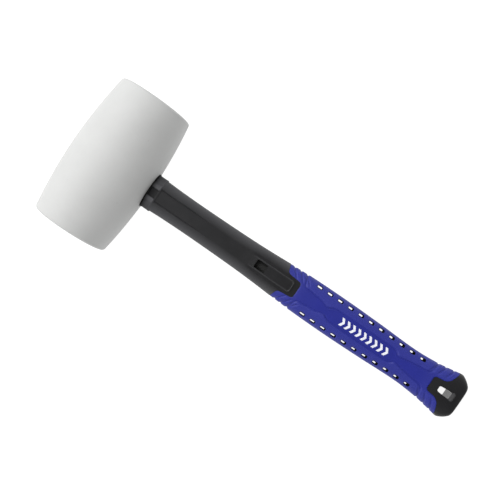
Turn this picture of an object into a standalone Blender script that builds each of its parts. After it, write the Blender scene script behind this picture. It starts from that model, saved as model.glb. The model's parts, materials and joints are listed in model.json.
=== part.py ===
"""A 24 oz rubber mallet with a glass-fibre handle, as five separate pieces in metres.

It lies on its side on the ground plane, resting on the barrel of its head and on the butt of its
handle. +X runs from the head to the butt, +Y along the head from face to face, +Z up. The origin
is the middle of the underside of its bounding box.

Every piece is modelled in the handle's own frame, whose origin is the middle of the head and whose
X axis is the handle's axis, and hangs on one empty that lays the mallet down.
"""

import math

import bmesh
import bpy

# Head: a solid rubber barrel with flat striking faces, turned about Y.
HEAD_LENGTH = 0.110
HEAD_MID_RADIUS = 0.03265
HEAD_FACE_RADIUS = 0.0284
HEAD_RIM_RADIUS = 0.002
HEAD_STEPS = 48
HEAD_RINGS = 8

# Clearance between pieces that touch, and the two thin layers of the handle.
GAP = 0.0003
BOND_THICKNESS = 0.0006
SKIN_THICKNESS = 0.0010

# Handle: distance from the head's axis, half width (along Y) and half thickness (along Z).
HANDLE_STATIONS = (
    (0.0406, 0.01240, 0.0078),
    (0.0515, 0.01200, 0.0077),
    (0.0750, 0.01174, 0.0078),
    (0.1110, 0.01207, 0.0083),
    (0.1290, 0.01263, 0.0088),
    (0.1450, 0.01345, 0.0093),
    (0.1620, 0.01414, 0.0097),
    (0.1900, 0.01434, 0.0098),
    (0.2177, 0.01384, 0.0092),
    (0.2483, 0.01290, 0.0087),
    (0.2645, 0.01388, 0.0093),
    (0.2745, 0.01543, 0.0100),
    (0.2838, 0.01695, 0.0106),
    (0.2856, 0.01650, 0.0106),
    (0.2882, 0.01475, 0.0103),
    (0.2902, 0.01260, 0.0096),
    (0.2908, 0.01160, 0.0088),
    (0.2910, 0.01080, 0.0080),
)
BUTT_START = HANDLE_STATIONS[11][0]
BUTT_END = HANDLE_STATIONS[-1][0]
STATION_STEP = 0.0110
OVAL_STEPS = 32
OVAL_SQUARENESS = 2.15
BUTT_SQUARENESS = 4.0
BUTT_SQUARE_FROM = 0.2838

# Collar that fills the head's mouth, where its flat sides slope down to the thinner neck, and the
# tenon inside the head with its bonding grooves.
COLLAR_START = 0.0140
COLLAR_SLOPE_START = 0.0315
COLLAR_END = 0.0402
COLLAR_HALF = (0.01295, 0.0081)
NECK_HALF = (0.01295, 0.0053)
TENON_START = -0.0220
TENON_HALF = (0.0118, 0.0053)
GROOVE_COUNT = 4
GROOVE_PITCH = 0.0080
GROOVE_WIDTH = 0.0026
GROOVE_DEPTH = 0.0006
SOCKET_FLOOR = -0.0228
BEAD_HEIGHT = 0.0006

# Glass-fibre core, a flattened rod that ends short of the hanging eye.
CORE_HALF = (0.0072, 0.0041)
CORE_START = -0.0218
CORE_END = 0.2620

# Windows through which the core was held in the mould, one on each flat side.
WINDOW_START = 0.1243
WINDOW_END = 0.1329
WINDOW_HALF_WIDTH = 0.0031
WINDOW_CORNER = 0.0006

# Soft grip in plan: a black tongue runs into it at each end. The points give one half, from the
# tip of the tongue along its side and then out over the shoulder to the edge of the handle.
FRONT_TONGUE = ((0.1582, 0.0060), (0.1480, 0.0070))
FRONT_SHOULDER = ((0.1466, 0.0082), (0.1443, 0.0145))
REAR_TONGUE = ((0.2674, 0.0055), (0.2752, 0.0063))
REAR_SHOULDER = ((0.2783, 0.0088), (0.2826, 0.0172))
OUTLINE_ROUNDING = 0.0020

# How far cutters reach up and down from the handle's axis, and how far they run past what they cut.
CUT_REACH = 0.030
OVERRUN = 0.010

# Slots right through the grip and the jacket, in two rows.
SLOT_COUNT = 11
SLOT_START = 0.1684
SLOT_PITCH = 0.0085
SLOT_LENGTH = 0.0043
SLOT_WIDTH = 0.0022
SLOT_CORNER = 0.0008
SLOT_ROW_FRONT = 0.0111
SLOT_ROW_REAR = 0.0101
SLOT_TAPER_START = 0.2040
SLOT_TAPER_END = 0.2400

# Hanging eye through the butt, wider towards the end, with a sloped mouth on both sides.
EYE_START = 0.2736
EYE_END = 0.2829
EYE_HALF_WIDTHS = (0.0019, 0.0028)
EYE_CORNER = 0.0007
MOUTH_SPREAD = (0.0006, 0.0024, 0.0010)
MOUTH_DEPTH = 0.0022
MOUTH_CLEARANCE = 0.00002


def clear_scene():
    for obj in list(bpy.data.objects):
        bpy.data.objects.remove(obj, do_unlink=True)


def material(name, color, roughness):
    made = bpy.data.materials.new(name)
    made.use_nodes = True
    shader = made.node_tree.nodes["Principled BSDF"]
    shader.inputs["Base Color"].default_value = (*color, 1.0)
    shader.inputs["Roughness"].default_value = roughness
    shader.inputs["Metallic"].default_value = 0.0
    return made


def lay_down_frame():
    """An empty that tilts the handle until head and butt both touch the ground."""
    drops = []
    for x, _, half_thickness in HANDLE_STATIONS:
        reach = math.hypot(x, half_thickness)
        if reach > HEAD_MID_RADIUS:
            drops.append(math.asin(HEAD_MID_RADIUS / reach) - math.atan2(half_thickness, x))
    tilt = min(drops)
    tip = max(x * math.cos(tilt) + t * math.sin(tilt) for x, _, t in HANDLE_STATIONS)
    frame = bpy.data.objects.new("handle_frame", None)
    bpy.context.scene.collection.objects.link(frame)
    frame.rotation_euler = (0.0, tilt, 0.0)
    frame.location = ((HEAD_MID_RADIUS - tip) / 2, 0.0, HEAD_MID_RADIUS)
    return frame


def add_object(name, bm, frame):
    bmesh.ops.recalc_face_normals(bm, faces=bm.faces)
    mesh = bpy.data.meshes.new(name)
    bm.to_mesh(mesh)
    bm.free()
    mesh.shade_smooth()
    mesh.set_sharp_from_angle(angle=math.radians(35))
    obj = bpy.data.objects.new(name, mesh)
    bpy.context.scene.collection.objects.link(obj)
    obj.parent = frame
    return obj


def as_cutter(obj):
    obj.hide_render = True
    obj.display_type = "WIRE"
    return obj


def boolean(obj, operation, other, name):
    modifier = obj.modifiers.new(name, "BOOLEAN")
    modifier.operation = operation
    modifier.object = other


def loft(bm, rings):
    """Joins rings of equally many points into one closed tube with flat ends."""
    loops = [[bm.verts.new(point) for point in ring] for ring in rings]
    for first, second in zip(loops, loops[1:]):
        for i in range(len(first)):
            j = (i + 1) % len(first)
            bm.faces.new((first[i], first[j], second[j], second[i]))
    bm.faces.new(loops[0])
    bm.faces.new(loops[-1])


def prism(bm, outline, low, high):
    """A plan outline made into a column between two heights."""
    loft(bm, [[(x, y, z) for x, y in outline] for z in (low, high)])


def squareness(x):
    """How square the handle's section is at x: the oval turns into a rounded block at the butt's end."""
    t = min(max((x - BUTT_SQUARE_FROM) / (BUTT_END - BUTT_SQUARE_FROM), 0.0), 1.0)
    return OVAL_SQUARENESS + (BUTT_SQUARENESS - OVAL_SQUARENESS) * t


def oval(x, half_width, half_thickness):
    """A cross-section of the handle: an oval with slightly flattened sides."""
    power = 2 / squareness(x)
    ring = []
    for i in range(OVAL_STEPS):
        angle = 2 * math.pi * i / OVAL_STEPS
        across = math.cos(angle)
        up = math.sin(angle)
        y = half_width * math.copysign(abs(across) ** power, across)
        z = half_thickness * math.copysign(abs(up) ** power, up)
        ring.append((x, y, z))
    return ring


def station_slope(i, column):
    before = HANDLE_STATIONS[max(i - 1, 0)]
    after = HANDLE_STATIONS[min(i + 1, len(HANDLE_STATIONS) - 1)]
    return (after[column] - before[column]) / (after[0] - before[0])


def handle_half(x, column):
    """Half width (column 1) or half thickness (column 2) at x, on a smooth curve through the stations."""
    i = 0
    while i < len(HANDLE_STATIONS) - 2 and x > HANDLE_STATIONS[i + 1][0]:
        i += 1
    first = HANDLE_STATIONS[i]
    second = HANDLE_STATIONS[i + 1]
    run = second[0] - first[0]
    t = min(max((x - first[0]) / run, 0.0), 1.0)
    rise_a = run * station_slope(i, column) * t * (1 - t) ** 2
    rise_b = run * station_slope(i + 1, column) * t * t * (1 - t)
    blend = t * t * (3 - 2 * t)
    return first[column] * (1 - blend) + second[column] * blend + rise_a - rise_b


def body_rings(start, end, inset=0.0):
    """Rings of the handle's outer surface from start to end, drawn in by inset."""
    count = max(1, round((min(end, BUTT_START) - start) / STATION_STEP))
    places = [start + (min(end, BUTT_START) - start) * i / count for i in range(count + 1)]
    places += [x for x, _, _ in HANDLE_STATIONS if BUTT_START < x < end]
    if end > BUTT_START:
        places.append(end)
    return [oval(x, handle_half(x, 1) - inset, handle_half(x, 2) - inset) for x in places]


def tenon_rings(grow=0.0, grooved=True):
    """Rings of the stretch inside the head: tenon, bonding grooves and collar, grown by grow."""
    width, thickness = TENON_HALF
    steps = [(TENON_START, 0.0)]
    for k in range(GROOVE_COUNT if grooved else 0):
        middle = TENON_START + GROOVE_PITCH * (k + 0.6)
        steps.append((middle - GROOVE_WIDTH / 2, 0.0))
        steps.append((middle - GROOVE_WIDTH / 4, GROOVE_DEPTH))
        steps.append((middle + GROOVE_WIDTH / 4, GROOVE_DEPTH))
        steps.append((middle + GROOVE_WIDTH / 2, 0.0))
    steps.append((COLLAR_START - grow - 0.001, 0.0))
    rings = [oval(x, width + grow - depth, thickness + grow - depth) for x, depth in steps]
    neck = (NECK_HALF[0] + grow, NECK_HALF[1] + grow)
    rings.append(oval(COLLAR_START - grow, *neck))
    rings.append(oval(COLLAR_SLOPE_START, *neck))
    rings.append(oval(COLLAR_END, COLLAR_HALF[0] + grow, COLLAR_HALF[1] + grow))
    return rings


def rounded(corners, radius, steps=3):
    """A closed outline whose corners are cut by arcs, smaller where an edge is too short."""
    outline = []
    for i, corner in enumerate(corners):
        before = corners[i - 1]
        after = corners[(i + 1) % len(corners)]
        to_before = (before[0] - corner[0], before[1] - corner[1])
        to_after = (after[0] - corner[0], after[1] - corner[1])
        len_before = math.hypot(*to_before)
        len_after = math.hypot(*to_after)
        cut = min(radius, 0.45 * len_before, 0.45 * len_after)
        start = (corner[0] + to_before[0] * cut / len_before, corner[1] + to_before[1] * cut / len_before)
        end = (corner[0] + to_after[0] * cut / len_after, corner[1] + to_after[1] * cut / len_after)
        for k in range(steps):
            t = k / (steps - 1)
            weights = ((1 - t) ** 2, 2 * t * (1 - t), t * t)
            x = weights[0] * start[0] + weights[1] * corner[0] + weights[2] * end[0]
            y = weights[0] * start[1] + weights[1] * corner[1] + weights[2] * end[1]
            outline.append((x, y))
    return outline


def grip_plan(grow):
    """The grip's outline in plan, grown by grow at both ends and towards the middle of the tongues."""
    halves = []
    ends = ((FRONT_TONGUE, FRONT_SHOULDER, -grow), (REAR_TONGUE, REAR_SHOULDER, grow))
    for tongue, shoulder, outward in ends:
        half = [(x + outward, y - grow) for x, y in tongue]
        half += [(x + outward, y) for x, y in shoulder]
        half.append((half[-1][0], CUT_REACH))
        halves.append(half)
    one_side = halves[0] + halves[1][::-1]
    other_side = [(x, -y) for x, y in reversed(one_side)]
    return rounded(one_side + other_side, OUTLINE_ROUNDING)


def barrel_radius(y):
    return HEAD_MID_RADIUS - (HEAD_MID_RADIUS - HEAD_FACE_RADIUS) * (2 * y / HEAD_LENGTH) ** 2


def turned_barrel(bm, frame, proud=0.0):
    """The head's barrel turned about Y, grown by proud, with a line of points at its lowest side."""
    shoulder = HEAD_LENGTH / 2 - HEAD_RIM_RADIUS
    places = [shoulder * i / HEAD_RINGS for i in range(HEAD_RINGS + 1)]
    half = [(y, barrel_radius(y)) for y in places]
    rim_centre = barrel_radius(shoulder) - HEAD_RIM_RADIUS
    for i in range(1, 5):
        angle = math.pi / 2 * i / 4
        reach = HEAD_RIM_RADIUS * math.sin(angle)
        half.append((shoulder + reach, rim_centre + HEAD_RIM_RADIUS * math.cos(angle)))
    profile = [(-y, r) for y, r in half[:0:-1]] + half
    rings = []
    for y, radius in profile:
        ring = []
        for i in range(HEAD_STEPS):
            angle = 2 * math.pi * i / HEAD_STEPS + frame.rotation_euler.y
            ring.append(((radius + proud) * math.cos(angle), y, (radius + proud) * math.sin(angle)))
        rings.append(ring)
    loft(bm, rings)


def slot_centres():
    for i in range(SLOT_COUNT):
        x = SLOT_START + SLOT_PITCH * i + SLOT_LENGTH / 2
        t = min(max((x - SLOT_TAPER_START) / (SLOT_TAPER_END - SLOT_TAPER_START), 0.0), 1.0)
        y = SLOT_ROW_FRONT + (SLOT_ROW_REAR - SLOT_ROW_FRONT) * t
        yield x, y
        yield x, -y


def make_slot_cutter(frame):
    bm = bmesh.new()
    for x, y in slot_centres():
        ends = (x - SLOT_LENGTH / 2, x + SLOT_LENGTH / 2)
        sides = (y - SLOT_WIDTH / 2, y + SLOT_WIDTH / 2)
        corners = [(ends[0], sides[0]), (ends[1], sides[0]), (ends[1], sides[1]), (ends[0], sides[1])]
        prism(bm, rounded(corners, SLOT_CORNER, 2), -CUT_REACH, CUT_REACH)
    return as_cutter(add_object("slot_cutter", bm, frame))


def eye_outline(spread_start=0.0, spread_end=0.0, spread_side=0.0):
    start = EYE_START - spread_start
    end = EYE_END + spread_end
    near = EYE_HALF_WIDTHS[0] + spread_side
    far = EYE_HALF_WIDTHS[1] + spread_side
    return rounded([(start, -near), (end, -far), (end, far), (start, near)], EYE_CORNER)


def make_eye_cutter(frame):
    """The straight hole, and on each side a mouth that opens out towards the surface."""
    bm = bmesh.new()
    prism(bm, eye_outline(), -CUT_REACH, CUT_REACH)
    hole = as_cutter(add_object("eye_cutter", bm, frame))
    mouths = []
    surface = handle_half(EYE_END, 2)
    for side in (1, -1):
        bm = bmesh.new()
        floor = surface - MOUTH_DEPTH
        inner = [(x, y, side * floor) for x, y in eye_outline(*[MOUTH_CLEARANCE] * 3)]
        spread = [s * (CUT_REACH - floor) / MOUTH_DEPTH for s in MOUTH_SPREAD]
        outer = [(x, y, side * CUT_REACH) for x, y in eye_outline(*spread)]
        loft(bm, [inner, outer])
        mouths.append(as_cutter(add_object(f"eye_mouth_cutter_{'top' if side > 0 else 'bottom'}", bm, frame)))
    return [hole] + mouths


def make_window_cutter(frame):
    bm = bmesh.new()
    corners = [
        (WINDOW_START, -WINDOW_HALF_WIDTH),
        (WINDOW_END, -WINDOW_HALF_WIDTH),
        (WINDOW_END, WINDOW_HALF_WIDTH),
        (WINDOW_START, WINDOW_HALF_WIDTH),
    ]
    prism(bm, rounded(corners, WINDOW_CORNER), -CUT_REACH, CUT_REACH)
    return as_cutter(add_object("window_cutter", bm, frame))


def make_core_rod(name, grow, start, end, frame):
    bm = bmesh.new()
    loft(bm, [oval(x, CORE_HALF[0] + grow, CORE_HALF[1] + grow) for x in (start, end)])
    return add_object(name, bm, frame)


def make_head(frame):
    bm = bmesh.new()
    turned_barrel(bm, frame)
    head = add_object("rubber_head", bm, frame)
    bm = bmesh.new()
    clearance = GAP + BOND_THICKNESS + GAP
    rings = tenon_rings(clearance, grooved=False)
    rings[0] = [(SOCKET_FLOOR, y, z) for _, y, z in rings[0]]
    rings.append([(2 * HEAD_MID_RADIUS, y, z) for _, y, z in rings[-1]])
    loft(bm, rings)
    boolean(head, "DIFFERENCE", as_cutter(add_object("socket_cutter", bm, frame)), "socket")
    return head


def make_bond(frame):
    """The epoxy sleeve between handle and head, ending in a thin bead round the mouth."""
    bm = bmesh.new()
    loft(bm, tenon_rings(GAP + BOND_THICKNESS, grooved=False))
    bond = add_object("epoxy_bond", bm, frame)
    bm = bmesh.new()
    rings = tenon_rings(GAP, grooved=False)
    rings[0] = [(TENON_START - OVERRUN, y, z) for _, y, z in rings[0]]
    rings.append([(2 * HEAD_MID_RADIUS, y, z) for _, y, z in rings[-1]])
    loft(bm, rings)
    boolean(bond, "DIFFERENCE", as_cutter(add_object("bond_bore_cutter", bm, frame)), "bore")
    bm = bmesh.new()
    turned_barrel(bm, frame, BEAD_HEIGHT)
    boolean(bond, "INTERSECT", as_cutter(add_object("bead_limit", bm, frame)), "bead")
    return bond


def make_jacket(frame, cutters):
    bm = bmesh.new()
    loft(bm, tenon_rings() + body_rings(HANDLE_STATIONS[0][0], BUTT_END))
    jacket = add_object("handle_jacket", bm, frame)
    bm = bmesh.new()
    prism(bm, grip_plan(GAP), -CUT_REACH, CUT_REACH)
    pocket = as_cutter(add_object("grip_pocket_cutter", bm, frame))
    bm = bmesh.new()
    loft(bm, body_rings(FRONT_SHOULDER[-1][0] - OVERRUN, BUTT_END, SKIN_THICKNESS + GAP))
    boolean(pocket, "DIFFERENCE", as_cutter(add_object("jacket_under_grip", bm, frame)), "under_grip")
    boolean(jacket, "DIFFERENCE", pocket, "grip_pocket")
    cavity = make_core_rod("core_cavity_cutter", GAP, TENON_START - OVERRUN, CORE_END + GAP, frame)
    boolean(jacket, "DIFFERENCE", as_cutter(cavity), "core_cavity")
    for cutter in cutters:
        boolean(jacket, "DIFFERENCE", cutter, cutter.name)
    return jacket


def make_grip(frame, slots):
    bm = bmesh.new()
    loft(bm, body_rings(FRONT_SHOULDER[-1][0] - OVERRUN, BUTT_END))
    grip = add_object("soft_grip", bm, frame)
    bm = bmesh.new()
    prism(bm, grip_plan(0.0), -CUT_REACH, CUT_REACH)
    boolean(grip, "INTERSECT", as_cutter(add_object("grip_limit", bm, frame)), "outline")
    bm = bmesh.new()
    loft(bm, body_rings(FRONT_SHOULDER[-1][0] - OVERRUN, BUTT_END, SKIN_THICKNESS))
    boolean(grip, "DIFFERENCE", as_cutter(add_object("grip_bore_cutter", bm, frame)), "bore")
    boolean(grip, "DIFFERENCE", slots, "slots")
    return grip


def main():
    clear_scene()
    frame = lay_down_frame()
    slots = make_slot_cutter(frame)
    eye = make_eye_cutter(frame)
    window = make_window_cutter(frame)
    head = make_head(frame)
    bond = make_bond(frame)
    jacket = make_jacket(frame, [slots, *eye, window])
    core = make_core_rod("glass_fibre_core", 0.0, CORE_START, CORE_END, frame)
    grip = make_grip(frame, slots)
    head.data.materials.append(material("white_rubber", (0.62, 0.62, 0.60), 0.62))
    bond.data.materials.append(material("black_epoxy", (0.012, 0.012, 0.013), 0.35))
    jacket.data.materials.append(material("black_plastic", (0.035, 0.035, 0.038), 0.50))
    core.data.materials.append(material("dark_glass_fibre", (0.025, 0.025, 0.022), 0.45))
    grip.data.materials.append(material("blue_soft_grip", (0.030, 0.036, 0.300), 0.55))


main()
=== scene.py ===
"""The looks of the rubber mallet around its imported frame: fine meshes, finishes, studio and camera.

Every piece is modelled in the handle's own frame, in metres: the origin is the middle of the head,
X runs along the handle, Y along the head and Z up through the handle's flat sides. One matrix then
lays the mallet down where the frame's mounts say it is.
"""

import json
import math

import bpy
import numpy as np
from mathutils import Matrix, Vector


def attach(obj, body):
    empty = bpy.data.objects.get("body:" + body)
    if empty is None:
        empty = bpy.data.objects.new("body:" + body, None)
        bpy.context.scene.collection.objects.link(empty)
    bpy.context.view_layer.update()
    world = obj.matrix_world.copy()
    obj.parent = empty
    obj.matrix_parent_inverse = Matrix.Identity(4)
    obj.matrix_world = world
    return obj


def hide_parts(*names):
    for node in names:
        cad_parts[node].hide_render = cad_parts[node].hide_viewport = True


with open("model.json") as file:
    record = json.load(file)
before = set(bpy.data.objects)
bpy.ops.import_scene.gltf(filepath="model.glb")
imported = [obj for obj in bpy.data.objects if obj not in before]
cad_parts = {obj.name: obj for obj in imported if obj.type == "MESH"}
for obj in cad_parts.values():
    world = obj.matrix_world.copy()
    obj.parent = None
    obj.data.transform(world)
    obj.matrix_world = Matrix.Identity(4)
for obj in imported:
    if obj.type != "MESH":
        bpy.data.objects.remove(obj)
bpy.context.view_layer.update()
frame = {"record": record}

MM = 0.001

# Head: a solid rubber barrel with flat striking faces.
HEAD_LENGTH = 110 * MM
HEAD_MID_RADIUS = 32.65 * MM
HEAD_FACE_RADIUS = 28.4 * MM
HEAD_RIM_RADIUS = 2.0 * MM

# Handle: distance from the head's axis, half width and half thickness, in millimetres.
HANDLE_STATIONS = np.array((
    (40.6, 12.40, 7.8),
    (51.5, 12.00, 7.7),
    (75.0, 11.74, 7.8),
    (111.0, 12.07, 8.3),
    (129.0, 12.63, 8.8),
    (145.0, 13.45, 9.3),
    (162.0, 14.14, 9.7),
    (190.0, 14.34, 9.8),
    (217.7, 13.84, 9.2),
    (248.3, 12.90, 8.7),
    (264.5, 13.88, 9.3),
    (274.5, 15.43, 10.0),
    (283.8, 16.95, 10.6),
    (285.6, 16.50, 10.6),
    (288.2, 14.75, 10.3),
    (290.2, 12.60, 9.6),
    (290.8, 11.60, 8.8),
    (291.0, 10.80, 8.0),
)) * MM
BUTT_END = HANDLE_STATIONS[-1][0]
# The handle's section is an oval |y|^p + |z|^p = 1, whose power grows at the butt's end.
OVAL_SQUARENESS = 2.15
BUTT_SQUARENESS = 4.0
BUTT_SQUARE_FROM = 283.8 * MM

# The grip's skin lies in a bed sunk into the jacket; fine surfaces stay just under the CAD ones.
SKIN_THICKNESS = 1.0 * MM
SKIN_CLEARANCE = 0.04 * MM
SURFACE_INSET = 0.05 * MM

# Inside the head: the tenon with its bonding grooves, the neck, the collar and the core.
TENON_START = -22.0 * MM
TENON_HALF = (11.8 * MM, 4.9 * MM)
GROOVE_COUNT = 4
GROOVE_PITCH = 8.0 * MM
GROOVE_WIDTH = 2.6 * MM
GROOVE_DEPTH = 0.45 * MM
COLLAR_START = 14.0 * MM
COLLAR_END = 40.2 * MM
COLLAR_HALF = (12.95 * MM, 8.1 * MM)
COLLAR_SLOPE_START = 32.2 * MM
NECK_HALF = (12.95 * MM, 4.9 * MM)
SOCKET_FLOOR = -22.8 * MM
CORE_HALF = (7.2 * MM, 4.1 * MM)
CORE_START = -21.8 * MM
CORE_END = 262.0 * MM

# Socket in the head and epoxy sleeve: how far each stands off the tenon and the neck.
SOCKET_GROWTH = 0.50 * MM
BOND_WALL = 0.45 * MM
BOND_BORE = 0.06 * MM
# The bead at the head's mouth: (distance from the neck, distance out of the mouth), in millimetres.
BEAD_PROFILE = (
    (0.54, 0.0), (0.60, 0.14), (0.58, 0.40), (0.50, 0.70),
    (0.38, 0.96), (0.25, 1.12), (0.14, 1.18), (0.06, 1.16),
)

# The mould seam runs along both sides of the barrel. Points are closest at it; angles in radians.
SEAM_HEIGHT = 0.10 * MM
SEAM_HALF_WIDTH = 0.40 * MM
SEAM_ANGLES = np.array([0, 0.15, 0.3, 0.45, 0.62, 0.85, 1.2]) / 57.3
SEAM_CLEAR_ANGLE = 0.024

# Plan of the grip, as (x, y) in millimetres: it leaves a bare tongue and shoulder at both ends.
FRONT_TONGUE = ((158.6, 6.0), (148.0, 7.0))
FRONT_SHOULDER = ((146.6, 8.2), (144.3, 14.5))
REAR_TONGUE = ((267.4, 5.5), (275.2, 6.3))
REAR_SHOULDER = ((278.3, 8.8), (282.6, 17.2))
OUTLINE_ROUNDING = 2.4

# Slots through the grip, two rows of them, in millimetres. The rows close up towards the butt.
SLOT_COUNT = 11
SLOT_START = 168.4
SLOT_PITCH = 8.5
SLOT_SIZE = (4.3, 2.2)
SLOT_HALF = (SLOT_SIZE[0] / 2 * MM, SLOT_SIZE[1] / 2 * MM)
SLOT_CORNER = 1.0
SLOT_ROWS = (11.1, 10.1)
SLOT_TAPER = (204.0, 240.0)

# Window through the shaft: start, end and half width. Hanging eye: start, end and the half widths
# there. The eye's mouths widen by the spread at the start, at the end and at the sides. Millimetres.
WINDOW = (124.3, 132.9, 3.1)
WINDOW_CORNER = 0.9
EYE = (273.7, 282.9, 1.9, 2.8)
EYE_CORNER = 1.2
MOUTH_SPREAD = (0.1, 2.7, 0.6)
MOUTH_DEPTH = 1.0

# Half length of the cutters, which pass right through the handle.
CUT_REACH = 30 * MM

# Relief of the grip.
VALLEY_DEPTH = 0.34 * MM
VALLEY_HALF_WIDTHS = (0.80 * MM, 1.0 * MM)
FIELD_DEPTH = 0.42 * MM
LABEL_DEPTH = 0.22 * MM
RIB_DEPTH = 0.62 * MM
RIB_HALF_WIDTH = 1.25 * MM
# Ribs at the grip's ends: first notch and pitches in millimetres, and slant.
FRONT_RIBS = (148.5, (5.0, 5.4), 0.80)
REAR_RIBS = (266.8, (5.7, 5.7), -0.60)
GRIP_RIM_RADIUS = 0.45 * MM
SLOT_RIM_RADIUS = 0.28 * MM
DEEPEST_RELIEF = 0.88 * MM

# Relief of the jacket: the collar's channel and pads, the shaft's grooves, the window's pad. Pads
# are boxes: centre, half sizes and corner radius.
COLLAR_LIP = (0.16 * MM, 0.7 * MM)
COLLAR_PAD = ((33.0 * MM, 5.05 * MM), (7.1 * MM, 1.75 * MM), 0.5 * MM)
WINDOW_PAD = ((137.2 * MM, 0.0), (17.1 * MM, 4.15 * MM), 1.8 * MM)
CHANNEL_DEPTH = 0.35 * MM
COLLAR_PAD_HEIGHTS = (0.15 * MM, 0.45 * MM)
SHAFT_GROOVE_MIDDLE = 4.95 * MM
SHAFT_GROOVE_DEPTH = 0.50 * MM
SHAFT_GROOVE_HALF_WIDTH = 0.60 * MM
PANEL_DEPTH = 0.12 * MM
WINDOW_PAD_HEIGHT = 0.22 * MM
WINDOW_RIM_HEIGHT = 0.30 * MM
WINDOW_VALLEY_DEPTH = 0.34 * MM
SLOT_WALL_DEPTH = 0.50 * MM

# Where the jacket's rings stand: (start, end, spacing) in millimetres, closest where it bends most.
JACKET_SPANS = (
    (28.0, 39.2, 0.5), (39.2, 42.0, 0.14), (42.2, 118.0, 1.5), (118.2, 151.0, 0.6), (151.2, 156.0, 0.2),
    (156.2, 161.0, 0.6), (161.4, 262.0, 1.8), (262.6, 283.4, 0.55), (283.6, 290.2, 0.3),
)
BUTT_RINGS = (290.3, 290.5, 290.65, 290.78, 290.88, 290.95, 291.0)

# Chevrons printed on the grip, in millimetres, each a thin plate of cells.
CHEVRON_COUNT = 9
CHEVRON_START = 194.5
CHEVRON_PITCH = 4.4
CHEVRON_HALF_WIDTH = 2.9
CHEVRON_STROKE = 1.9
CHEVRON_POINT = 1.7
CHEVRON_CELLS = (7, 12)
CHEVRON_LIFTS = (0.012, 0.045)


# ---------------------------------------------------------------- frame

def laid_down():
    """The matrix from the handle's frame to the row frame."""
    mounts = {mount["name"]: mount for mount in frame["record"]["mounts"]}
    faces = [Vector(mounts[name]["pos_m"]) for name in ("strike_face_left", "strike_face_right")]
    axis = mounts["butt_end"]["axis"]
    tilt = math.atan2(-axis[2], axis[0])
    return Matrix.Translation((faces[0] + faces[1]) / 2) @ Matrix.Rotation(tilt, 4, "Y")


TO_ROW = laid_down()


# ---------------------------------------------------------------- shape functions

def ramp(value, low, high):
    """A smooth step from 0 at low to 1 at high."""
    t = np.clip((value - low) / (high - low), 0.0, 1.0)
    return t * t * (3 - 2 * t)


def bell(distance, half_width):
    """A smooth bump: 1 in the middle, 0 beyond half_width."""
    t = np.clip(np.abs(distance) / half_width, 0.0, 1.0)
    return (1 - t * t) ** 2


def rolled(distance, radius):
    """How far a rounded edge has dropped at this distance inside it."""
    t = np.clip(1 - distance / radius, 0.0, 1.0)
    return radius * (1 - np.sqrt(np.maximum(1 - t * t, 0.0)))


def handle_half(x, column):
    """Half width (1) or half thickness (2) at each x, on a smooth curve through the stations."""
    places = HANDLE_STATIONS[:, 0]
    values = HANDLE_STATIONS[:, column]
    before = np.maximum(np.arange(len(places)) - 1, 0)
    after = np.minimum(np.arange(len(places)) + 1, len(places) - 1)
    slopes = (values[after] - values[before]) / (places[after] - places[before])
    i = np.clip(np.searchsorted(places, x) - 1, 0, len(places) - 2)
    run = places[i + 1] - places[i]
    t = np.clip((x - places[i]) / run, 0.0, 1.0)
    blend = t * t * (3 - 2 * t)
    rise = run * (slopes[i] * t * (1 - t) ** 2 - slopes[i + 1] * t * t * (1 - t))
    return values[i] * (1 - blend) + values[i + 1] * blend + rise


def even_angles(count, focus=1.0):
    """Angles that space points evenly round the handle, focus times as densely on its flat sides."""
    half_width, half_thickness, flat_share = 13.5, 9.2, 0.55
    fine = np.linspace(0, 2 * np.pi, 4001)
    y, z = oval_unit(fine)
    steps = np.hypot(np.diff(y * half_width), np.diff(z * half_thickness))
    steps *= np.where(np.abs(y[1:]) < flat_share, focus, 1.0)
    run = np.concatenate([[0], np.cumsum(steps)])
    return np.interp(np.arange(count) / count * run[-1], run, fine)


def squareness(x):
    """How square the section is at x: the oval turns into a rounded block at the butt's end."""
    t = np.clip((x - BUTT_SQUARE_FROM) / (BUTT_END - BUTT_SQUARE_FROM), 0.0, 1.0)
    return OVAL_SQUARENESS + (BUTT_SQUARENESS - OVAL_SQUARENESS) * t * t


def oval_unit(angle, x=0.0):
    """(y, z) at each angle of a section whose halves are 1."""
    power = 2 / squareness(x)
    c, s = np.cos(angle), np.sin(angle)
    return np.sign(c) * np.abs(c) ** power, np.sign(s) * np.abs(s) ** power


def surface_height(x, y):
    """Height of the plain handle surface over its middle plane."""
    power = squareness(x)
    inside = np.clip(1 - (np.abs(y) / handle_half(x, 1)) ** power, 0.0, 1.0)
    return handle_half(x, 2) * inside ** (1 / power)


def smooth_path(points):
    """A Catmull-Rom curve through points, as many short straight pieces."""
    per_span = 12
    p = np.array(points, float)
    p = np.vstack([2 * p[0] - p[1], p, 2 * p[-1] - p[-2]])
    t = (np.arange(per_span) / per_span)[:, None]
    spans = []
    for a, b, c, d in zip(p, p[1:], p[2:], p[3:]):
        square, cube = 2 * a - 5 * b + 4 * c - d, 3 * b - a - 3 * c + d
        spans.append(0.5 * (2 * b + (c - a) * t + square * t**2 + cube * t**3))
    return np.vstack(spans + [p[-2:-1]])


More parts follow.
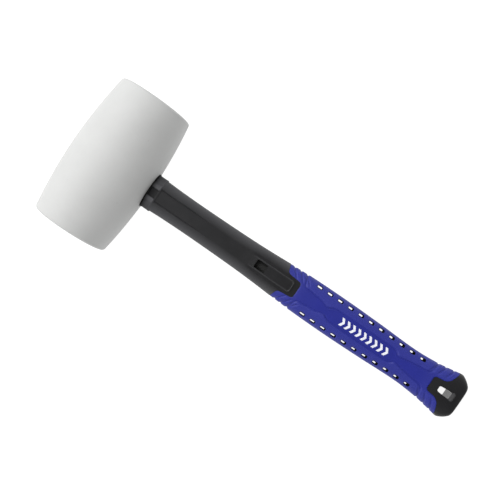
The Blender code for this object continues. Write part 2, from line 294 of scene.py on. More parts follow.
def distance_to(x, y, path, closed=False):
    """(distance to the path, 1 on its left or -1 on its right) for arrays of points."""
    path = np.asarray(path, float)
    ends = np.roll(path, -1, axis=0) if closed else path[1:]
    starts = path if closed else path[:-1]
    best = np.full(x.shape, np.inf)
    side = np.zeros(x.shape)
    for (ax, ay), (bx, by) in zip(starts, ends):
        dx, dy = bx - ax, by - ay
        length = dx * dx + dy * dy
        if length < 1e-18:
            continue
        t = np.clip(((x - ax) * dx + (y - ay) * dy) / length, 0.0, 1.0)
        px, py = x - ax - t * dx, y - ay - t * dy
        d = np.hypot(px, py)
        closer = d < best
        best = np.where(closer, d, best)
        side = np.where(closer, np.sign(dx * (y - ay) - dy * (x - ax)), side)
    return best, side


def box_distance(x, y, centre, half, corner):
    """Signed distance to a rounded rectangle, negative inside it."""
    dx = np.abs(x - centre[0]) - half[0] + corner
    dy = np.abs(y - centre[1]) - half[1] + corner
    outside = np.hypot(np.maximum(dx, 0), np.maximum(dy, 0))
    return outside + np.minimum(np.maximum(dx, dy), 0) - corner


def rectangle(x, y, half):
    """Corners of a rectangle round (x, y)."""
    return [(x + sx * half[0], y + sy * half[1]) for sx, sy in ((-1, -1), (1, -1), (1, 1), (-1, 1))]


def rounded(corners, radius, steps=6):
    """A closed outline whose corners are cut by smooth arcs, smaller where an edge is too short."""
    corners = [np.array(c, float) for c in corners]
    outline = []
    for i, corner in enumerate(corners):
        back = corners[i - 1] - corner
        on = corners[(i + 1) % len(corners)] - corner
        cut = min(radius, 0.45 * np.linalg.norm(back), 0.45 * np.linalg.norm(on))
        start = corner + back / np.linalg.norm(back) * cut
        end = corner + on / np.linalg.norm(on) * cut
        for t in np.linspace(0, 1, steps):
            outline.append((1 - t) ** 2 * start + 2 * t * (1 - t) * corner + t * t * end)
    return np.array(outline)


def grip_plan(grow=0.0):
    """The grip's outline in plan, in metres, grown by grow millimetres towards both tongues."""
    halves = []
    for tongue, shoulder, outward in (
        (FRONT_TONGUE, FRONT_SHOULDER, -grow),
        (REAR_TONGUE, REAR_SHOULDER, grow),
    ):
        half = [(x + outward, y - grow) for x, y in tongue]
        half += [(x + outward, y) for x, y in shoulder]
        half.append((half[-1][0], CUT_REACH / MM))
        halves.append(half)
    one_side = halves[0] + halves[1][::-1]
    other_side = [(x, -y) for x, y in reversed(one_side)]
    return rounded(one_side + other_side, OUTLINE_ROUNDING) * MM


def slot_centres():
    """(x, y) of each slot, in metres, both rows."""
    x = SLOT_START + SLOT_PITCH * np.arange(SLOT_COUNT) + SLOT_SIZE[0] / 2
    t = np.clip((x - SLOT_TAPER[0]) / (SLOT_TAPER[1] - SLOT_TAPER[0]), 0, 1)
    y = SLOT_ROWS[0] + (SLOT_ROWS[1] - SLOT_ROWS[0]) * t
    return [(a * MM, b * side * MM) for a, b in zip(x, y) for side in (1, -1)]


# ---------------------------------------------------------------- mesh helpers

def mesh_object(name, points, faces):
    mesh = bpy.data.meshes.new(name)
    mesh.from_pydata(np.asarray(points).reshape(-1, 3).tolist(), [], faces)
    mesh.update()
    obj = bpy.data.objects.new(name, mesh)
    bpy.context.scene.collection.objects.link(obj)
    return obj


def coordinates(mesh):
    """The mesh's points, one row each."""
    points = np.empty(len(mesh.vertices) * 3)
    mesh.vertices.foreach_get("co", points)
    return points.reshape(-1, 3)


def signed_volume(mesh):
    """Volume inside a closed mesh, negative where its faces look in."""
    mesh.calc_loop_triangles()
    triangles = np.empty(len(mesh.loop_triangles) * 3, np.int32)
    mesh.loop_triangles.foreach_get("vertices", triangles)
    corners = coordinates(mesh)[triangles.reshape(-1, 3)]
    return float(np.linalg.det(corners).sum() / 6)


def closed_object(name, points, faces):
    """A closed mesh whose faces look out."""
    obj = mesh_object(name, points, faces)
    if signed_volume(obj.data) < 0:
        obj.data.flip_normals()
    return obj


def tube_faces(rings, steps, first=0):
    """Quads joining rings of equally many points, and flat ends."""
    i = np.arange(rings - 1)[:, None]
    j = np.arange(steps)[None, :]
    k = (j + 1) % steps
    n = i + 1
    quads = np.stack([i * steps + j, n * steps + j, n * steps + k, i * steps + k], axis=-1)
    faces = (quads.reshape(-1, 4) + first).tolist()
    faces.append((np.arange(steps) + first).tolist())
    faces.append((np.arange(steps)[::-1] + (rings - 1) * steps + first).tolist())
    return faces


def tube(name, rings):
    """A closed tube through an array of rings."""
    rings = np.asarray(rings)
    return closed_object(name, rings, tube_faces(rings.shape[0], rings.shape[1]))


def prism(name, outlines, low, high):
    """Columns over plan outlines. low and high are heights or functions of x and y."""
    points, faces = [], []
    for outline in outlines:
        outline = np.asarray(outline)
        steps = len(outline)
        for level in (low, high):
            z = level(outline[:, 0], outline[:, 1]) if callable(level) else np.full(steps, level)
            points.append(np.column_stack([outline, z]))
        faces += tube_faces(2, steps, first=sum(len(p) for p in points) - 2 * steps)
    return closed_object(name, np.vstack(points), faces)


def combine(obj, *steps):
    """Applies Boolean steps (operation, other object) one after the other and removes the others."""
    for operation, other in steps:
        modifier = obj.modifiers.new(operation, "BOOLEAN")
        modifier.operation = operation
        modifier.solver = "MANIFOLD"
        modifier.object = other
    bpy.context.view_layer.update()
    graph = bpy.context.evaluated_depsgraph_get()
    mesh = bpy.data.meshes.new_from_object(obj.evaluated_get(graph))
    obj.modifiers.clear()
    old = obj.data
    obj.data = mesh
    mesh.name = obj.name
    bpy.data.meshes.remove(old)
    for _, other in steps:
        bpy.data.objects.remove(other, do_unlink=True)


def point_value(obj, name, values):
    """Stores one number for each point, for the materials to read."""
    attribute = obj.data.attributes.new(name, "FLOAT", "POINT")
    attribute.data.foreach_set("value", np.asarray(values, np.float32))


def finish_shading(obj, angle=34):
    """Smooth shading that keeps creases, with normals weighted towards the larger faces."""
    obj.data.shade_smooth()
    obj.data.set_sharp_from_angle(angle=math.radians(angle))
    modifier = obj.modifiers.new("even_normals", "WEIGHTED_NORMAL")
    modifier.keep_sharp = True
    modifier.weight = 50
    return obj


def place(obj, node, material):
    """Lays a piece down, gives it its material, and says which body and CAD node it goes with."""
    obj.data.transform(TO_ROW)
    obj.data.materials.clear()
    obj.data.materials.append(material)
    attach(obj, "root")
    if node:
        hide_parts(node)
    return obj


# ---------------------------------------------------------------- handle surface

def handle_rings(places, angles, relief=None, halves=None):
    """Rings of the handle's surface at the given places, each point moved out by its relief."""
    x = np.asarray(places)[:, None] + 0 * angles[None, :]
    unit_y, unit_z = oval_unit(angles[None, :], x)
    if halves is None:
        halves = (handle_half(x[:, 0], 1), handle_half(x[:, 0], 2))
    width, thickness = halves
    y = width[:, None] * unit_y
    z = thickness[:, None] * unit_z
    points = np.stack([x, y, z], axis=-1)
    if relief is None:
        return points
    around = np.roll(points, -1, axis=1) - np.roll(points, 1, axis=1)
    along = np.gradient(points, axis=0)
    normal = np.cross(around, along)
    normal /= np.linalg.norm(normal, axis=-1, keepdims=True)
    outward = np.sign((normal[..., 1] * y + normal[..., 2] * z).sum())
    return points + normal * outward * relief(x, y, z)[..., None]


# Inner edge of the textured side panels on the grip.
BORDER = smooth_path((
    (158.9, 14.4), (159.6, 12.4), (160.6, 9.6), (161.5, 7.2), (163.1, 5.95), (167.5, 5.4),
    (172.0, 4.8), (177.6, 4.05), (181.0, 2.95), (183.2, 2.75), (185.6, 4.0), (188.7, 4.95),
    (193.0, 5.15), (210.0, 5.15), (228.0, 5.15), (235.0, 5.1), (238.0, 4.2), (239.6, 2.75),
    (241.4, 2.45), (247.9, 3.6), (255.8, 4.8), (261.2, 5.35), (263.6, 6.4), (264.9, 8.6),
    (265.9, 11.6), (266.6, 14.4),
)) * MM
PLAN = grip_plan()


def panel_depth(x, y):
    """Signed distance from the border of the textured side panels, positive inside a panel."""
    distance, side = distance_to(x, np.abs(y), BORDER)
    return distance * side


def rib_relief(x, y, first, pitches, slant):
    """Scallops across the edges of the grip, each a bulge between two notches."""
    edge = handle_half(x, 1) - np.abs(y)
    along = x - slant * edge
    notches = np.cumsum([first, *pitches]) * MM
    depth = np.zeros(x.shape)
    for notch in notches:
        depth = np.maximum(depth, bell(along - notch, RIB_HALF_WIDTH))
    reach = 1 - ramp(edge, 4.5 * MM, 8.0 * MM)
    return -RIB_DEPTH * depth * reach


def grip_relief(x, y, z):
    """How far each point of the grip stands out of the plain handle surface; it is always negative."""
    inside = panel_depth(x, y)
    # A valley runs along the border of the side panels and fades towards the handle's edges.
    flat = np.clip(np.abs(z) / (5.0 * MM), 0, 1)
    within, beyond = VALLEY_HALF_WIDTHS
    valley = np.where(inside > 0, bell(inside, within), bell(inside, beyond))
    relief = -VALLEY_DEPTH * valley * ramp(flat, 0.0, 0.45)
    # The field between the panels lies lower, least of all in the wings beside the tongues.
    wing = 1 - ramp(x, 157 * MM, 161 * MM) + ramp(x, 263 * MM, 267 * MM)
    wing = wing * ramp(np.abs(y), 6.0 * MM, 8.5 * MM)
    relief -= FIELD_DEPTH * (1 - ramp(inside, -0.2 * MM, 1.1 * MM)) * (1 - 0.75 * wing)
    # It sinks once more where the print is.
    label = ramp(x, 174 * MM, 184 * MM) * (1 - ramp(x, 238 * MM, 247 * MM))
    relief -= LABEL_DEPTH * ramp(-inside, 0.0, 2.2 * MM) * label
    relief += rib_relief(x, y, *FRONT_RIBS)
    relief += rib_relief(x, y, *REAR_RIBS)
    # The outline's edge and the slots' edges are rounded.
    distance, _ = distance_to(x, y, PLAN, closed=True)
    relief -= rolled(distance, GRIP_RIM_RADIUS)
    for cx, cy in slot_centres():
        near = (np.abs(x - cx) < 5 * MM) & (np.abs(y - cy) < 4 * MM)
        gap = box_distance(x[near], y[near], (cx, cy), SLOT_HALF, SLOT_CORNER * MM)
        relief[near] -= rolled(np.maximum(gap, 0), SLOT_RIM_RADIUS)
    return np.maximum(relief - SURFACE_INSET, -DEEPEST_RELIEF)


def collar_lip(x):
    """The fine ridge that closes the collar."""
    height, half_width = COLLAR_LIP
    return height * bell(x - (COLLAR_END - 0.75 * MM), half_width)


def jacket_relief(x, y, z):
    """How far each point of the jacket stands out of its plain surface."""
    width = np.abs(y)
    relief = np.zeros(x.shape)
    # Collar: two raised pads on each flat side, with a flat channel between them.
    pad = box_distance(x, width, *COLLAR_PAD)
    rise = COLLAR_PAD_HEIGHTS[0] + COLLAR_PAD_HEIGHTS[1] * ramp(x, 31 * MM, 40 * MM)
    relief += rise * (1 - ramp(pad, -0.25 * MM, 0.25 * MM))
    on_collar = 1 - ramp(x, 39.75 * MM, 40.5 * MM)
    channel = 1 - ramp(width, 3.0 * MM, 3.5 * MM)
    relief -= (CHANNEL_DEPTH * on_collar + collar_lip(x)) * channel
    # Shaft: a smooth middle panel between two grooves that fade towards the grip.
    on_shaft = ramp(x, 40.8 * MM, 41.6 * MM)
    fade = 1 - 0.75 * ramp(x, 62 * MM, 92 * MM)
    until = 1 - ramp(x, 112 * MM, 124 * MM)
    groove = bell(width - SHAFT_GROOVE_MIDDLE, SHAFT_GROOVE_HALF_WIDTH)
    relief -= SHAFT_GROOVE_DEPTH * groove * on_shaft * fade * until
    relief -= PANEL_DEPTH * (1 - ramp(width, 4.2 * MM, 4.9 * MM)) * on_shaft * until
    # Raised pad round the window: a thin rim edges it, and a valley runs along each side of it.
    gap, start = window_pad(x, width)
    relief += WINDOW_PAD_HEIGHT * (1 - ramp(gap, -0.3 * MM, 0.3 * MM)) * start
    relief += WINDOW_RIM_HEIGHT * bell(gap + 0.30 * MM, 0.45 * MM) * start
    valley = bell(gap - 1.3 * MM, 1.5 * MM) * start
    # On the tongue the ground round the pad stays low right up to the grip.
    sunk = ramp(gap, -0.2 * MM, 1.3 * MM) * ramp(x, 146 * MM, 151 * MM)
    sunk = sunk * (1 - ramp(x, 159 * MM, 161 * MM))
    relief -= WINDOW_VALLEY_DEPTH * np.maximum(valley, sunk)
    return relief - SURFACE_INSET


def neck_thickness(x):
    """Half thickness of the collar, which slopes down to the thinner neck inside the head."""
    share = np.clip((x - COLLAR_SLOPE_START) / (COLLAR_END - COLLAR_SLOPE_START), 0.0, 1.0)
    return NECK_HALF[1] + (COLLAR_HALF[1] - NECK_HALF[1]) * share


def jacket_halves(x):
    """Half width and half thickness from tenon to butt, with the bonding grooves and the collar."""
    width = handle_half(x, 1)
    thickness = handle_half(x, 2)
    groove = np.zeros(x.shape)
    for k in range(GROOVE_COUNT):
        off = np.abs(x - (TENON_START + GROOVE_PITCH * (k + 0.6)))
        groove = np.maximum(groove, 1 - ramp(off, GROOVE_WIDTH / 4, GROOVE_WIDTH / 2))
    tenon = 1 - ramp(x, COLLAR_START - 1.0 * MM, COLLAR_START)
    shaft = ramp(x, COLLAR_END - 0.45 * MM, COLLAR_END + 0.3 * MM)
    halves = []
    collars = (COLLAR_HALF[0], neck_thickness(x))
    for collar, inner, body in zip(collars, TENON_HALF, (width, thickness)):
        value = np.where(shaft > 0, collar + (body - collar) * shaft, collar)
        halves.append(value + (inner - GROOVE_DEPTH * groove - value) * tenon)
    lip = collar_lip(x)
    chamfer = rolled(x - TENON_START, 0.8 * MM)
    return halves[0] + lip - chamfer, halves[1] + lip - chamfer


# ---------------------------------------------------------------- pieces

def barrel_radius(y):
    """Radius of the head at y: it bulges in the middle."""
    return HEAD_MID_RADIUS - (HEAD_MID_RADIUS - HEAD_FACE_RADIUS) * (2 * y / HEAD_LENGTH) ** 2


def make_head():
    """The barrel, with rounded rims, a mould seam along both sides and a socket for the handle."""
    shoulder = HEAD_LENGTH / 2 - HEAD_RIM_RADIUS
    half = [(y, barrel_radius(y)) for y in np.linspace(0, shoulder, 46)]
    centre = barrel_radius(shoulder) - HEAD_RIM_RADIUS
    for angle in np.linspace(0, np.pi / 2, 9)[1:]:
        out, across = HEAD_RIM_RADIUS * math.sin(angle), HEAD_RIM_RADIUS * math.cos(angle)
        half.append((shoulder + out, centre + across))
    face_end = half[-1][1]
    for share in (0.94, 0.8, 0.6, 0.4, 0.2, 0.06):
        half.append((HEAD_LENGTH / 2, face_end * share))
    profile = np.array([(-a, b) for a, b in half[:0:-1]] + half)
    regular = np.linspace(0, np.pi, 91)[1:-1]
    regular = regular[(regular > SEAM_CLEAR_ANGLE) & (regular < np.pi - SEAM_CLEAR_ANGLE)]
    upper = np.concatenate([SEAM_ANGLES, regular, np.pi - SEAM_ANGLES[::-1]])
    angles = np.concatenate([upper, -upper[1:-1][::-1]])
    from_seam = np.minimum(np.abs(angles), np.pi - np.abs(angles)) * HEAD_MID_RADIUS
    seam = SEAM_HEIGHT * bell(from_seam, SEAM_HALF_WIDTH)
    # The seam just reaches the barrel's radius, and the rest of the outside lies under it.
    along = profile[:, 0][:, None]
    reach = profile[:, 1][:, None]
    reach = reach + (np.where(reach > face_end, seam[None, :], 0) - SEAM_HEIGHT * (reach > face_end))
    rings = np.stack([reach * np.cos(angles), along + 0 * reach, reach * np.sin(angles)], axis=-1)
    head = tube("rubber_head_fine", rings)
    places = np.array([
        SOCKET_FLOOR, COLLAR_START - 1.4 * MM, COLLAR_START - 0.4 * MM, COLLAR_SLOPE_START, COLLAR_END])
    widths = np.array([TENON_HALF[0]] * 2 + [NECK_HALF[0]] * 3) + SOCKET_GROWTH
    heights = np.array([TENON_HALF[1]] * 2 + [NECK_HALF[1]] * 2 + [COLLAR_HALF[1]]) + SOCKET_GROWTH
    socket = tube("socket", handle_rings(places, even_angles(128), halves=(widths, heights)))
    combine(head, ("DIFFERENCE", socket))
    barrel_normals(head)
    return head


def barrel_normals(obj):
    """Gives the outside the normals of the true barrel, so that no cut edge shows in its shading."""
    mesh = obj.data
    mesh.shade_smooth()
    mesh.set_sharp_from_angle(angle=math.radians(40))
    points = coordinates(mesh)
    radius = np.hypot(points[:, 0], points[:, 2])
    slope = 8 * (HEAD_MID_RADIUS - HEAD_FACE_RADIUS) * points[:, 1] / HEAD_LENGTH**2
    divisor = np.maximum(radius, 1e-9)
    true = np.column_stack([points[:, 0] / divisor, slope, points[:, 2] / divisor])
    true /= np.linalg.norm(true, axis=1, keepdims=True)
    outside = np.abs(radius - (barrel_radius(points[:, 1]) - SEAM_HEIGHT)) < 0.02 * MM
    outside &= np.abs(points[:, 1]) < HEAD_LENGTH / 2 - HEAD_RIM_RADIUS - 0.2 * MM
    corner_vertex = np.empty(len(mesh.loops), np.int32)
    mesh.loops.foreach_get("vertex_index", corner_vertex)
    normals = np.empty(len(mesh.loops) * 3, np.float32)
    mesh.corner_normals.foreach_get("vector", normals)
    normals = normals.reshape(-1, 3)
    use = outside[corner_vertex] & ((normals * true[corner_vertex]).sum(axis=1) > 0.9)
    normals[use] = true[corner_vertex][use]
    mesh.normals_split_custom_set(normals.tolist())


def make_bond():
    """The epoxy sleeve round the tenon, ending in a thin bead that follows the head's mouth."""
    angles = even_angles(160)
    unit_y, unit_z = oval_unit(angles)

    def ring(x, width, thickness):
        return np.stack([x + 0 * angles, width * unit_y, thickness * unit_z], axis=-1)

    def round_tenon(x, grow):
        return ring(x, TENON_HALF[0] + grow, TENON_HALF[1] + grow)

    def round_neck(x, grow):
        return ring(x, NECK_HALF[0] + grow, neck_thickness(x) + grow)

    def mouth(grow):
        """Where the sleeve, grown by grow, comes out of the barrel."""
        y = (NECK_HALF[0] + grow) * unit_y
        x = HEAD_MID_RADIUS + 0 * y
        for _ in range(8):
            x = np.sqrt(barrel_radius(y) ** 2 - ((neck_thickness(x) + grow) * unit_z) ** 2)
        return x

    # Outside: from the socket's floor over the tenon and the neck to just inside the mouth.
    rings = [round_tenon(SOCKET_FLOOR + 0.05 * MM, BOND_WALL - 0.3 * MM)]
    rings.append(round_tenon(SOCKET_FLOOR + 0.2 * MM, BOND_WALL))
    rings += [round_tenon(x, BOND_WALL) for x in np.linspace(-21 * MM, 12.4 * MM, 12)]
    neck = 20 * MM
    rings += [round_neck(13.4 * MM, BOND_WALL), round_neck(neck, BOND_WALL)]
    for share in np.linspace(0.3, 1, 5):
        x = neck + (mouth(BOND_WALL) - 0.25 * MM - neck) * share
        rings.append(round_neck(x, BOND_WALL))
    for grow, lift in BEAD_PROFILE:
        rings.append(round_neck(mouth(grow * MM) + lift * MM, grow * MM))
    # Inside: back along the neck and into the tenon's grooves.
    for x in np.linspace(COLLAR_SLOPE_START, 14.6 * MM, 6):
        rings.append(round_neck(x, BOND_BORE))
    for x in np.arange(13.8 * MM, TENON_START + 0.5 * MM, -0.4 * MM):
        width, thickness = jacket_halves(np.array([x]))
        rings.append(ring(x, width[0] + BOND_BORE, thickness[0] + BOND_BORE))
    rings.append(round_tenon(TENON_START - 0.06 * MM, -0.6 * MM))
    return tube("epoxy_bead", rings)


def window_pad(x, width):
    """Signed distance from the border of the raised pad round the window, and how far it has begun."""
    return box_distance(x, width, *WINDOW_PAD), ramp(x, 119.5 * MM, 127 * MM)


def jacket_grain_and_painted_light(x, y, z):
    """How matt and pale the plastic is: 0 is smooth and black, 1 is the roughest and palest. The paler
    tone is painted light: painted sheen on the sides, painted highlights on pads and rims, painted light
    on shaded walls.
    """
    width = np.abs(y)
    depth = surface_height(x, y) - np.abs(z)
    # The collar is matt outside its channel, most of all on the pads, and less so beside the bead. Its
    # paler tone is painted sheen, strongest on the pads as a painted highlight, and the drop beside the
    # bead is painted shade from the head.
    pads = ramp(width, 3.3 * MM, 3.8 * MM) * (1 - ramp(width, 6.4 * MM, 6.9 * MM))
    collar = np.maximum(0.74 * ramp(width, 3.0 * MM, 3.7 * MM), pads)
    collar *= 0.65 + 0.35 * ramp(x, 34.2 * MM, 36.6 * MM)
    # The shaft is smooth in the middle and turns matt towards its edges, where its paler tone is a
    # painted sheen.
    begin = 4.4 * MM + 1.8 * MM * ramp(x, 108 * MM, 132 * MM)
    shaft = 0.76 * np.clip((width - begin) / (6.0 * MM), 0.0, 1.0) * (1 - ramp(x, 146 * MM, 150 * MM))
    on_shaft = ramp(x, 40.0 * MM, 41.0 * MM)
    grain_and_painted_light = collar * (1 - on_shaft) + shaft * on_shaft
    gap, start = window_pad(x, width)
    # A band along the rim of the window's pad is painted paler: a painted highlight on the rim.
    grain_and_painted_light = np.maximum(grain_and_painted_light, 0.30 * bell(gap + 0.25 * MM, 0.70 * MM) * start)
    # The walls of the window, and the sloped mouths of the eye, have a fine grain too, and are painted
    # paler: painted light on walls that lie in shade.
    in_window = (x > WINDOW[0] * MM - 1e-5) & (x < WINDOW[1] * MM + 1e-5)
    in_window &= width < WINDOW[2] * MM + 1e-5
    grain_and_painted_light = np.where(in_window & (depth > 0.5 * MM), 0.7, grain_and_painted_light)
    in_mouth = (x > (EYE[1] + 0.05) * MM) & (x < (EYE[1] + 3.0) * MM) & (width < 3.7 * MM)
    return np.where(in_mouth & (depth > 0.12 * MM), 0.4, grain_and_painted_light)


def make_jacket():
    """The plastic jacket, with the grip's bed, the slots' raised walls, the window and the eye."""
    places = [np.arange(TENON_START, COLLAR_START + 1 * MM, 0.45 * MM), np.array([18, 22, 26]) * MM]
    places += [np.arange(*span) * MM for span in JACKET_SPANS]
    places.append(np.array(BUTT_RINGS) * MM)
    places = np.concatenate(places)
    angles = even_angles(176, 1.6)
    halves = jacket_halves(places)
    jacket = tube("handle_jacket_fine", handle_rings(places, angles, jacket_relief, halves))
    pocket = prism("grip_pocket", [grip_plan(0.03)], -CUT_REACH, CUT_REACH)
    combine(pocket, ("DIFFERENCE", inner_handle("grip_bed", 292, SKIN_THICKNESS + SKIN_CLEARANCE)))
    # A raised wall of the jacket lines every slot and ends just below the grip's surface.
    walls = []
    for side in (1, -1):
        def top(x, y, side=side):
            return side * (surface_height(x, y) - SLOT_WALL_DEPTH)
        walls.append(prism("slot_walls", slot_outlines(-0.03), 0.0, top))
    core_halves = [np.full(2, half + 0.1 * MM) for half in CORE_HALF]
    core_ends = np.array([TENON_START - 10 * MM, CORE_END + 0.2 * MM])
    core = tube("core_cavity", handle_rings(core_ends, even_angles(96), halves=core_halves))
    slots = prism("slot_holes", slot_outlines(-0.20, 0.30), -CUT_REACH, CUT_REACH)
    corners = rectangle((WINDOW[0] + WINDOW[1]) / 2, 0.0, ((WINDOW[1] - WINDOW[0]) / 2, WINDOW[2]))
    windows = prism("windows", [rounded(corners, WINDOW_CORNER) * MM], -CUT_REACH, CUT_REACH)
    steps = [("DIFFERENCE", pocket), ("UNION", walls[0]), ("UNION", walls[1])]
    steps += [("DIFFERENCE", cutter) for cutter in (core, slots, windows, *eye_cutters())]
    combine(jacket, *steps)
    x, y, z = coordinates(jacket.data).T
    point_value(jacket, "grain_and_painted_light", jacket_grain_and_painted_light(x, y, z))
    # The straight part of the eye, below its mouths, is polished and painted paler: the paler grey is
    # painted light on a wall that lies in shade.
    eye_middle = ((EYE[0] + EYE[1]) / 2 * MM, 0.0)
    eye_half = ((EYE[1] - EYE[0]) / 2 * MM, EYE[3] * MM)
    in_eye = box_distance(x, y, eye_middle, eye_half, 0.0) < 0.02 * MM
    deep = np.abs(z) < surface_height(x, y) - (MOUTH_DEPTH - 0.1) * MM
    point_value(jacket, "polish_and_painted_light", in_eye & deep)
    return jacket


def paint_slot_shade(obj, material):
    """Gives the walls inside the slots their own near-black matt material: painted shade for the shadow
    inside the slots.
    """
    mesh = obj.data
    mesh.materials.append(material)
    to_handle = TO_ROW.inverted()
    middles = np.array([to_handle @ polygon.center for polygon in mesh.polygons])
    inside = np.zeros(len(middles), bool)
    for cx, cy in slot_centres():
        gap = box_distance(middles[:, 0], middles[:, 1], (cx, cy), SLOT_HALF, 0.0)
        inside |= gap < -0.01 * MM
    mesh.polygons.foreach_set("material_index", inside.astype(np.int32))


def eye_outline(spread_start=0.0, spread_end=0.0, spread_side=0.0):
    """The eye in plan, wider at its end, spread by so many millimetres."""
    start, end = EYE[0] - spread_start, EYE[1] + spread_end
    near, far = EYE[2] + spread_side, EYE[3] + spread_side
    return rounded([(start, -near), (end, -far), (end, far), (start, near)], EYE_CORNER, 8) * MM


def eye_cutters():
    """The straight hole, and on each side a mouth that opens out towards the surface."""
    cutters = [prism("eye_hole", [eye_outline()], -CUT_REACH, CUT_REACH)]
    surface = float(handle_half(np.array([EYE[1] * MM]), 2)[0]) / MM
    floor = surface - MOUTH_DEPTH
    reach = CUT_REACH / MM
    # Heights, and the share of the spread that the mouth has reached there.
    levels = (
        (floor, 0.02), (floor + 0.25, 0.25), (surface - 0.35, 0.66),
        (surface, 1.05), (surface + 0.4, 1.6), (reach, 6.0),
    )
    for side in (1, -1):
        rings = []
        for height, share in levels:
            outline = eye_outline(*[share * s for s in MOUTH_SPREAD])
            rings.append(np.column_stack([outline, np.full(len(outline), side * height * MM)]))
        cutters.append(tube("eye_mouth", rings))
    return cutters


def slot_outlines(grow, narrow=0.0):
    """The slots in plan, grown all round and made narrower by so many millimetres."""
    outlines = []
    for cx, cy in slot_centres():
        half = (SLOT_SIZE[0] / 2 + grow, SLOT_SIZE[1] / 2 + grow - narrow)
        outlines.append(rounded(rectangle(cx / MM, cy / MM, half), SLOT_CORNER + grow, 5) * MM)
    return outlines


def inner_handle(name, end, inset):
    """The handle under the grip, up to end in millimetres, with its surface moved in by inset."""
    places = np.arange(134, end, 1.2) * MM
    halves = (handle_half(places, 1) - inset, handle_half(places, 2) - inset)
    return tube(name, handle_rings(places, even_angles(120), halves=halves))


def make_grip():
    """The soft grip: a thin skin with relief, cut to its plan and pierced by the slots."""
    places = np.arange(141.5, 285.4, 0.40) * MM
    grip = tube("soft_grip_fine", handle_rings(places, even_angles(200), grip_relief))
    limit = prism("grip_limit", [PLAN], -CUT_REACH, CUT_REACH)
    bore = inner_handle("grip_bore", 291, SKIN_THICKNESS)
    slots = prism("grip_slots", slot_outlines(0.03), -CUT_REACH, CUT_REACH)
    combine(grip, ("INTERSECT", limit), ("DIFFERENCE", bore), ("DIFFERENCE", slots))
    x, y, _ = coordinates(grip.data).T
    # Texture is 1 on the panels and the wings, and 0 in the smooth field between them. On the panels the
    # paler tone is their grain; on the wings and at the grip's ends it is a painted highlight.
    wings = 1 - ramp(x, 158 * MM, 166 * MM) + ramp(x, 258 * MM, 266 * MM)
    wings *= 0.45 + 0.55 * ramp(np.abs(y), 6.0 * MM, 8.0 * MM)
    point_value(grip, "grain_and_painted_light", np.maximum(ramp(panel_depth(x, y), 0.2 * MM, 0.9 * MM), wings))
    return grip


def make_core():
    """The glass fibre bar inside the jacket, with rounded ends."""
    places = np.concatenate([
        CORE_START + np.array([0, 0.15, 0.5]) * MM,
        np.arange(-20, 261, 8.0) * MM,
        CORE_END - np.array([0.5, 0.15, 0]) * MM,
    ])
    drop = rolled(np.minimum(places - CORE_START, CORE_END - places), 0.5 * MM)
    halves = [half - drop for half in CORE_HALF]
    return tube("glass_fibre_core_fine", handle_rings(places, even_angles(72), halves=halves))


def make_print():
    """A row of plain white chevrons on each flat side of the grip."""
    rows, columns = CHEVRON_CELLS
    across = columns + 1
    count = (rows + 1) * across
    patch = []
    for i in range(rows):
        for j in range(columns):
            a = i * across + j
            patch.append((a, a + 1, a + across + 1, a + across))
    border = list(range(across))
    border += [i * across + columns for i in range(1, rows + 1)]
    border += [rows * across + j for j in range(columns - 1, -1, -1)]
    border += [i * across for i in range(rows - 1, 0, -1)]
    plate = [quad[::-1] for quad in patch] + [tuple(i + count for i in quad) for quad in patch]
    for a, b in zip(border, border[1:] + border[:1]):
        plate.append((a, b, b + count, a + count))
    stroke = np.linspace(0, CHEVRON_STROKE, rows + 1)
    width = np.linspace(-CHEVRON_HALF_WIDTH, CHEVRON_HALF_WIDTH, across)
    stroke, width = np.meshgrid(stroke, width, indexing="ij")
    bend = CHEVRON_POINT * (1 - np.abs(width) / CHEVRON_HALF_WIDTH)
    points, faces = [], []
    for side in (1, -1):
        for k in range(CHEVRON_COUNT):
            x = (CHEVRON_START + CHEVRON_PITCH * k + stroke + bend) * MM
            y = width * MM
            base = surface_height(x, y) + grip_relief(x, y, surface_height(x, y))
            first = sum(len(p) for p in points)
            for lift in CHEVRON_LIFTS:
                points.append(np.stack([x, y, side * (base + lift * MM)], axis=-1).reshape(-1, 3))
            turned = [quad[::-1] for quad in plate] if side > 0 else plate
            faces += [tuple(i + first for i in quad) for quad in turned]
    return closed_object("grip_print", np.vstack(points), faces)


# ---------------------------------------------------------------- materials

# Sockets of a Mix node that is set to colours.
MIX_FACTOR, MIX_FIRST, MIX_SECOND = 0, 6, 7
MIX_RESULT = 2


def new_material(name, roughness, specular):
    """(material, its node tree, its shader)."""
    material = bpy.data.materials.new(name)
    material.use_nodes = True
    shader = material.node_tree.nodes["Principled BSDF"]
    shader.inputs["Roughness"].default_value = roughness
    shader.inputs["Specular IOR Level"].default_value = specular
    return material, material.node_tree, shader


def plug(tree, socket, entry):
    """Links a socket to another node's output, or sets its value."""
    if isinstance(entry, bpy.types.NodeSocket):
        tree.links.new(entry, socket)
    else:
        socket.default_value = entry


def add(tree, kind, inputs=(), **settings):
    """A new node with the given settings and input sockets."""
    node = tree.nodes.new(kind)
    for name, value in settings.items():
        setattr(node, name, value)
    for key, entry in dict(inputs).items():
        plug(tree, node.inputs[key], entry)
    return node


def noise(tree, vector, scale, detail, roughness):
    inputs = {"Vector": vector, "Scale": scale, "Detail": detail, "Roughness": roughness}
    return add(tree, "ShaderNodeTexNoise", inputs).outputs["Fac"]


def mapped(tree, value, low, high, out_low=0.0, out_high=1.0):
    """The value carried over from one range to another."""
    inputs = {"Value": value, "From Min": low, "From Max": high, "To Min": out_low, "To Max": out_high}
    return add(tree, "ShaderNodeMapRange", inputs).outputs["Result"]


